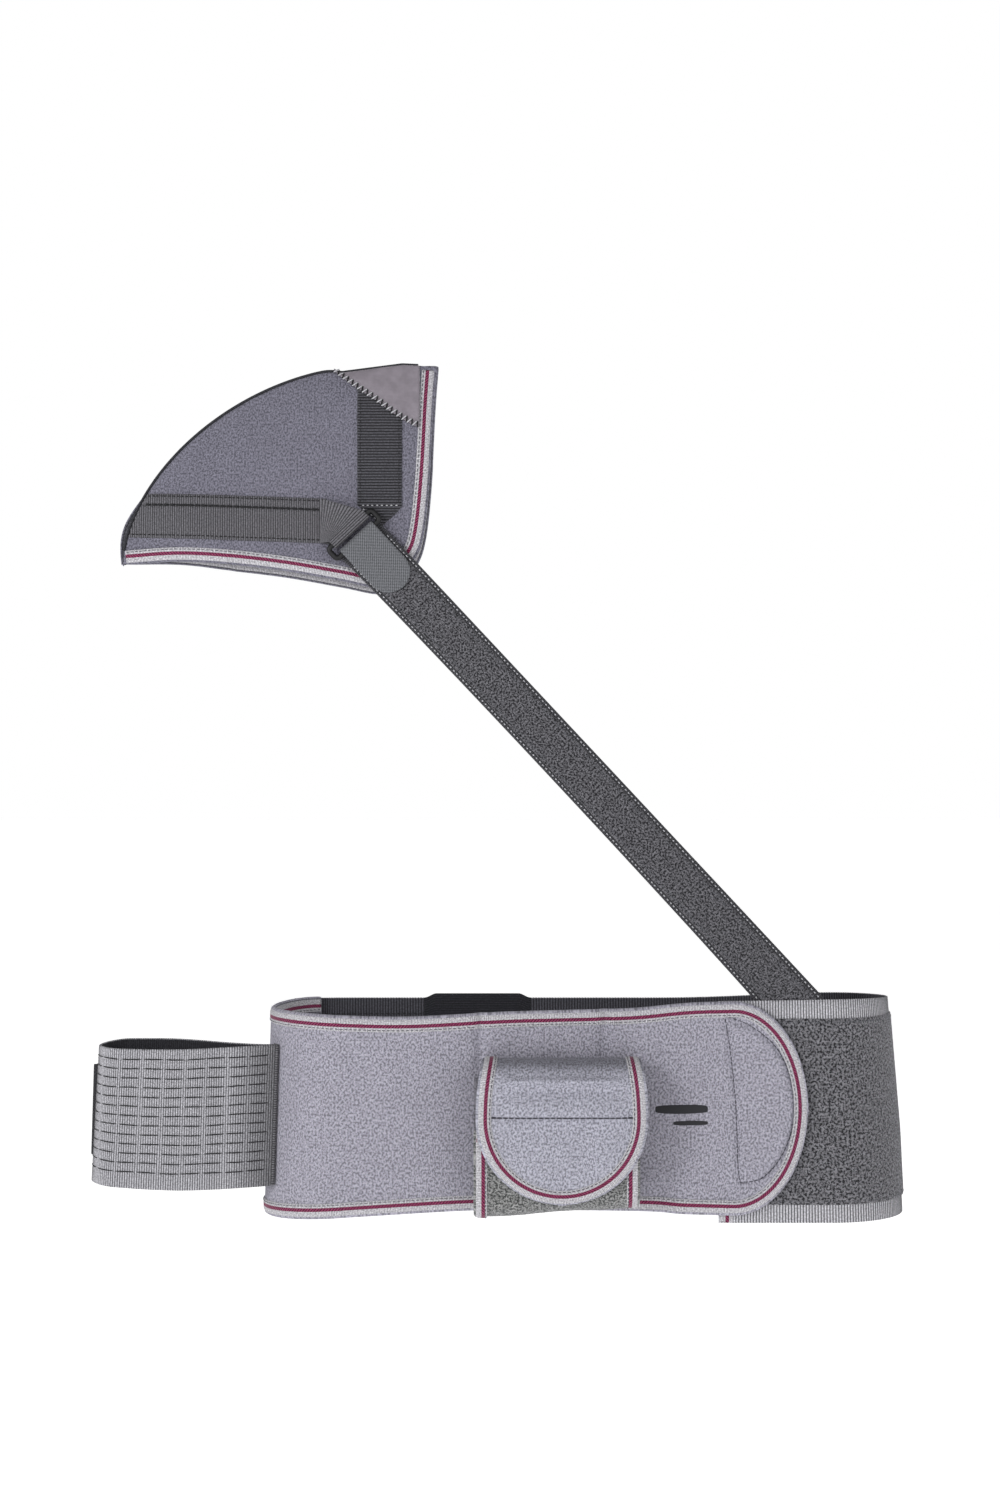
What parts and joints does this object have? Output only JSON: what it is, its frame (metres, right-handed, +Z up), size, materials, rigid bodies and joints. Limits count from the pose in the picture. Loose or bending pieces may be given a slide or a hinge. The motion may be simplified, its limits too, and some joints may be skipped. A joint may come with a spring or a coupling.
{
  "type": "shoulder immobiliser arm sling",
  "caption": "Elastic chest belt with a wrist cuff, an upper-arm cuff and a diagonal strap up to a shoulder cap, all closed by hook and loop.",
  "frame": {"origin": "middle of the chest ring, half way up the belt", "axes": "+X across the chest towards the belt's closure, +Y from the wearer's front to back, +Z up"},
  "size_m": [0.599, 0.1594, 0.627],
  "materials": {
    "brushed_laminate": "brushed nap",
    "grey_elastic": "woven ribs",
    "ribbed_arm_elastic": "woven ribs with dark floats",
    "loop_pile": "heather loop pile",
    "hook_tape": "matte, fine hooks",
    "dark_hook_tape": "matte, fine hooks",
    "dark_webbing": "ribbed webbing",
    "cap_webbing": "ribbed webbing",
    "edge_tape": "folded knit tape with a plum line",
    "stretch_tricot": "smooth stretch knit",
    "ring_plastic": "satin"
  },
  "bodies": {
    "belt": {"front_panel": "brushed_laminate", "panel_top_binding": "edge_tape", "panel_bottom_binding": "edge_tape", "back_elastic": "grey_elastic", "elastic_end_binding": "edge_tape", "closure_loop_panel": "loop_pile", "back_grip_patch": "dark_webbing", "strap_anchor": "dark_webbing", "arm_seam_tape": "dark_webbing", "wrist_base": "brushed_laminate", "wrist_top_fold": "brushed_laminate", "wrist_base_binding_left": "edge_tape", "wrist_base_binding_right": "edge_tape"},
    "closure": {"closure_flap": "brushed_laminate", "closure_flap_binding": "edge_tape", "closure_hook_patch": "hook_tape"},
    "wrist_flap": {"wrist_flap": "brushed_laminate", "wrist_flap_binding": "edge_tape", "wrist_hook_patch": "hook_tape"},
    "wrist_wrap": {"wrist_wrap": "loop_pile", "wrist_wrap_binding_left": "edge_tape", "wrist_wrap_binding_right": "edge_tape", "wrist_wrap_end_binding": "edge_tape"},
    "arm_cuff": {"arm_cuff_elastic": "ribbed_arm_elastic", "arm_seam_fold": "ribbed_arm_elastic", "arm_loop_patch": "loop_pile"},
    "arm_tab": {"arm_hook_tab": "dark_hook_tape"},
    "strap": {"strap_webbing": "dark_webbing", "strap_loop_tape": "loop_pile"},
    "strap_tab": {"strap_hook_tab": "hook_tape"},
    "ring": {"strap_ring": "ring_plastic"},
    "cap": {"cap_front_panel": "brushed_laminate", "cap_back_panel": "brushed_laminate", "cap_curved_seam": "dark_webbing", "cap_front_binding": "edge_tape", "cap_back_binding": "edge_tape", "cap_corner_patch": "stretch_tricot", "cap_side_webbing": "cap_webbing", "cap_upright_webbing": "cap_webbing", "cap_ring_webbing": "cap_webbing"}
  },
  "joints": [
    {"name": "closure_peel", "type": "hinge", "parent": "belt", "child": "closure", "pos_m": [0.10285, -0.0608, 0.002], "axis": [0, 0, -1], "range_deg": [0, 110]},
    {"name": "wrist_flap_peel", "type": "hinge", "parent": "belt", "child": "wrist_flap", "pos_m": [-0.0175, -0.097, 0.02275], "axis": [-1, 0, 0], "range_deg": [0, 115]},
    {"name": "wrist_wrap_open", "type": "hinge", "parent": "belt", "child": "wrist_wrap", "pos_m": [-0.021, -0.0925, -0.057], "axis": [1, 0, 0], "range_deg": [0, 46]},
    {"name": "arm_cuff_swing", "type": "hinge", "parent": "belt", "child": "arm_cuff", "pos_m": [-0.22798, -0.03506, -0.006], "axis": [0, 0, 1], "range_deg": [-20, 45]},
    {"name": "arm_tab_peel", "type": "hinge", "parent": "arm_cuff", "child": "arm_tab", "pos_m": [-0.312, -0.00926, -0.005], "axis": [0, 0, -1], "range_deg": [0, 110]},
    {"name": "strap_swing", "type": "hinge", "parent": "belt", "child": "strap", "pos_m": [0.1488, -0.0521, 0.0785], "axis": [1, 0, 0], "range_deg": [-15, 24]},
    {"name": "strap_tab_peel", "type": "hinge", "parent": "strap", "child": "strap_tab", "pos_m": [-0.16351, -0.02705, 0.4134], "axis": [-0.7314, 0, -0.682], "range_deg": [0, 110]},
    {"name": "ring_pivot", "type": "hinge", "parent": "strap", "child": "ring", "pos_m": [-0.165, -0.023, 0.415], "axis": [0.7314, 0, 0.682], "range_deg": [0, 25]},
    {"name": "cap_swing", "type": "hinge", "parent": "ring", "child": "cap", "pos_m": [-0.17182, -0.023, 0.42231], "axis": [0.7314, 0, 0.682], "range_deg": [0, 40]}
  ],
  "couplings": [
    {"joint": "wrist_wrap_open", "follows": "wrist_flap_peel", "ratio": 0.4}
  ]
}
